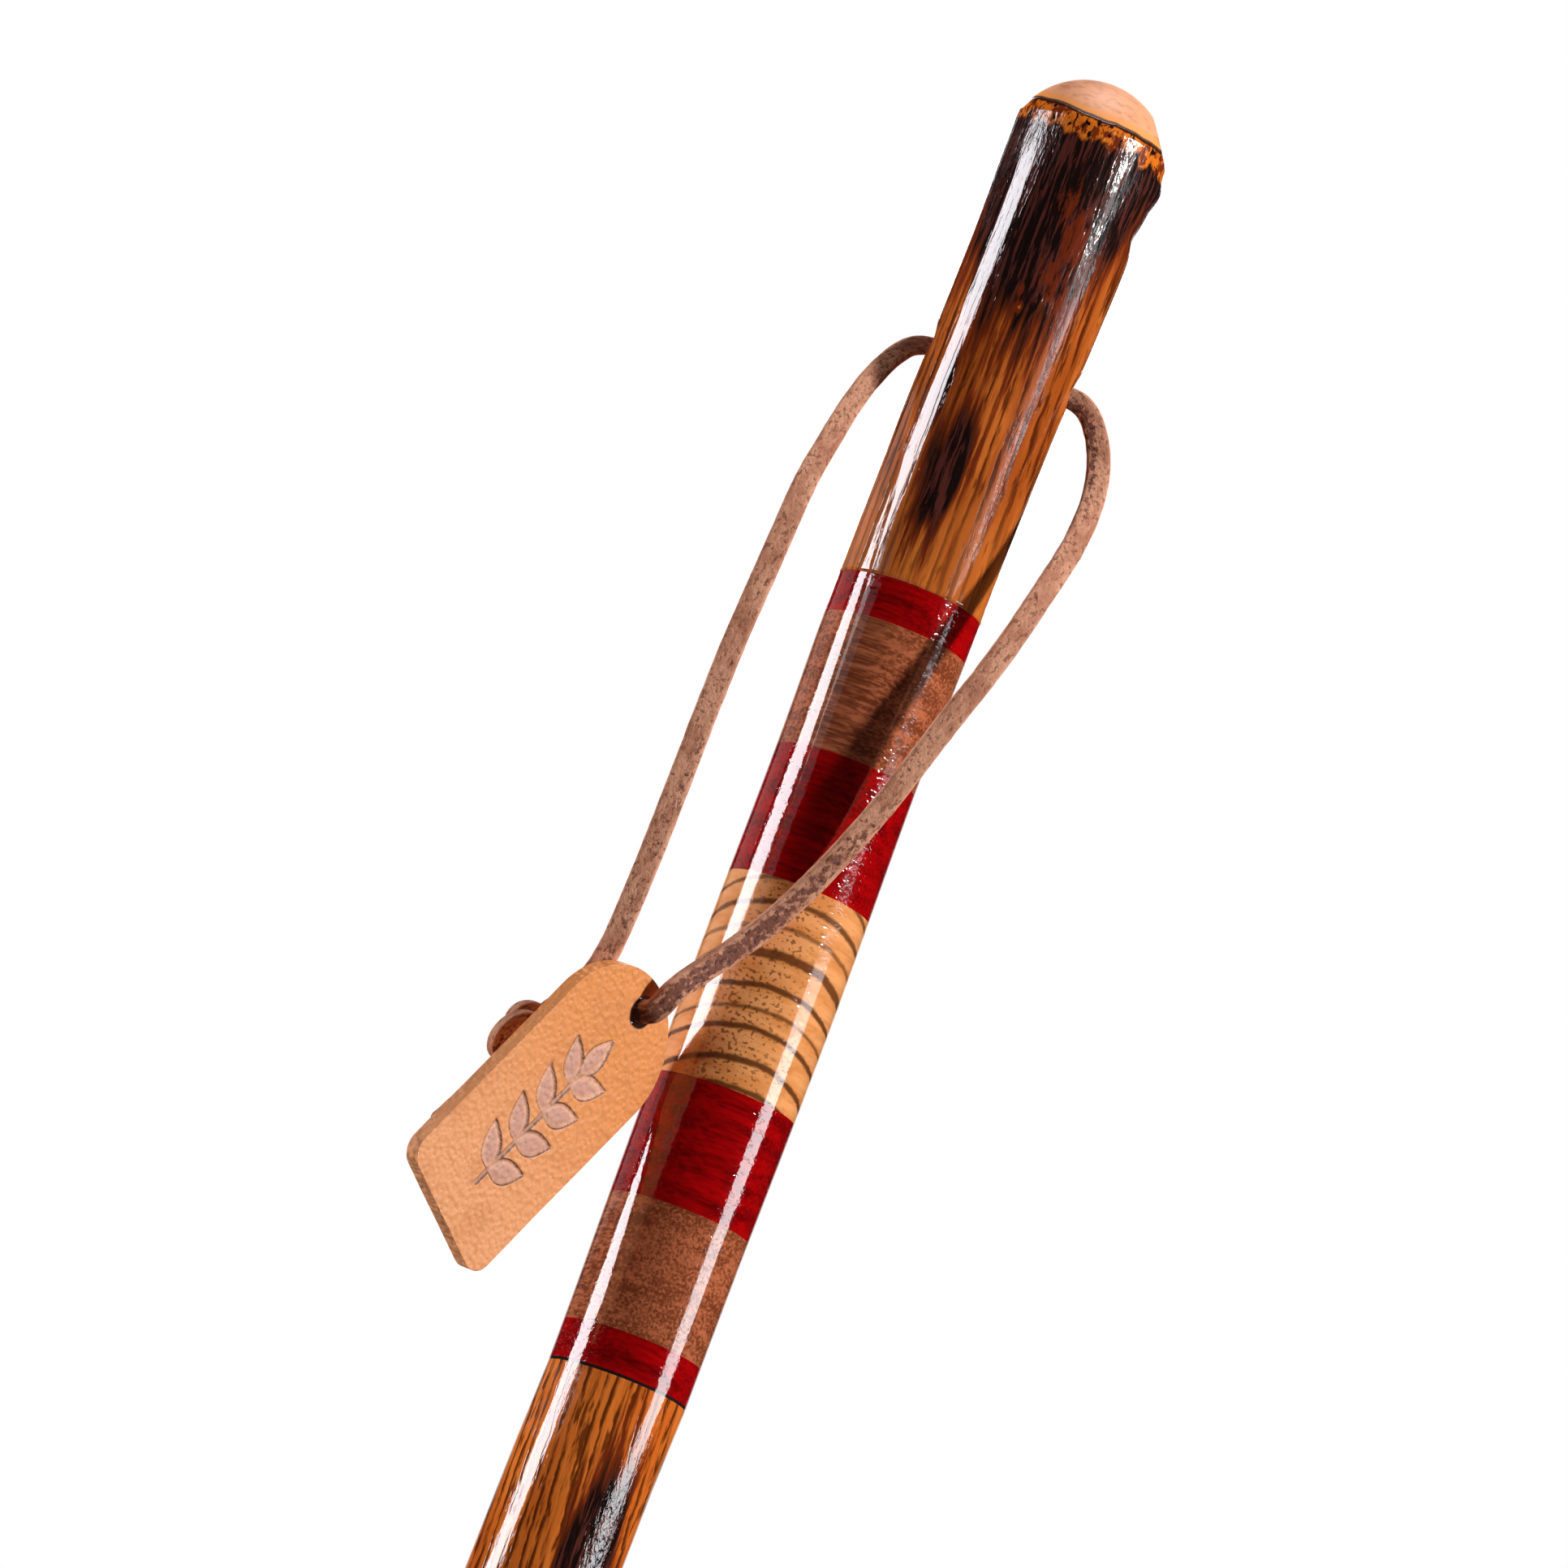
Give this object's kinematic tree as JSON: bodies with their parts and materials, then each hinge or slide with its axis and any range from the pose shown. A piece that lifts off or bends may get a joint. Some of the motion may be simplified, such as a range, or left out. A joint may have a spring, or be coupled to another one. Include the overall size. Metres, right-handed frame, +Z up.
{
  "type": "hiking staff",
  "caption": "Wooden hiking staff with a scorched domed oak head, banded hardwood grip, tapered oak shaft, rubber tip and leather wrist lanyard with a tag.",
  "frame": {"origin": "middle of the rubber tip's tread, where the staff meets the ground", "axes": "+Z up the staff, X along the lanyard hole, -Y the front, where the lanyard crosses the grip"},
  "size_m": [0.0794, 0.0632, 1.397],
  "materials": {
    "scorched_oak": "flame-scorched oak under high-gloss lacquer, bare at the dome",
    "oak": "orange oak with dark grain under high-gloss lacquer",
    "red_hardwood": "deep crimson hardwood under high-gloss lacquer",
    "walnut": "brown walnut under high-gloss lacquer",
    "zebrawood": "honey-tan wood with dark stripes under high-gloss lacquer",
    "black_fibre": "black fibre sheet under lacquer",
    "dowel_maple": "plain maple dowel",
    "black_rubber": "moulded black rubber",
    "washer_steel": "zinc-plated steel",
    "lace_leather": "brown rawhide lace with a napped surface",
    "tag_leather": "tan pebbled vegetable-tanned leather"
  },
  "bodies": {
    "staff": {"head": "scorched_oak", "top_red_band": "red_hardwood", "upper_walnut_band": "walnut", "upper_red_band": "red_hardwood", "zebrawood_band": "zebrawood", "lower_red_band": "red_hardwood", "lower_walnut_band": "walnut", "bottom_red_band": "red_hardwood", "shaft_spacer": "black_fibre", "shaft": "oak", "core_dowel": "dowel_maple", "rubber_tip": "black_rubber", "tip_washer": "washer_steel"},
    "lanyard": {"lanyard_left_strand": "lace_leather", "lanyard_right_strand": "lace_leather", "lanyard_knot": "lace_leather"},
    "tag": {"leather_tag": "tag_leather"}
  },
  "joints": [
    {"name": "lanyard_swing", "type": "hinge", "parent": "staff", "child": "lanyard", "pos_m": [0, 0, 1.3375], "axis": [-1, 0, 0], "range_deg": [0, 320]},
    {"name": "tag_swing", "type": "hinge", "parent": "lanyard", "child": "tag", "pos_m": [-0.021, -0.0185, 1.1919], "axis": [-0.7461, 0.6578, 0.1033], "range_deg": [0, 75]}
  ]
}
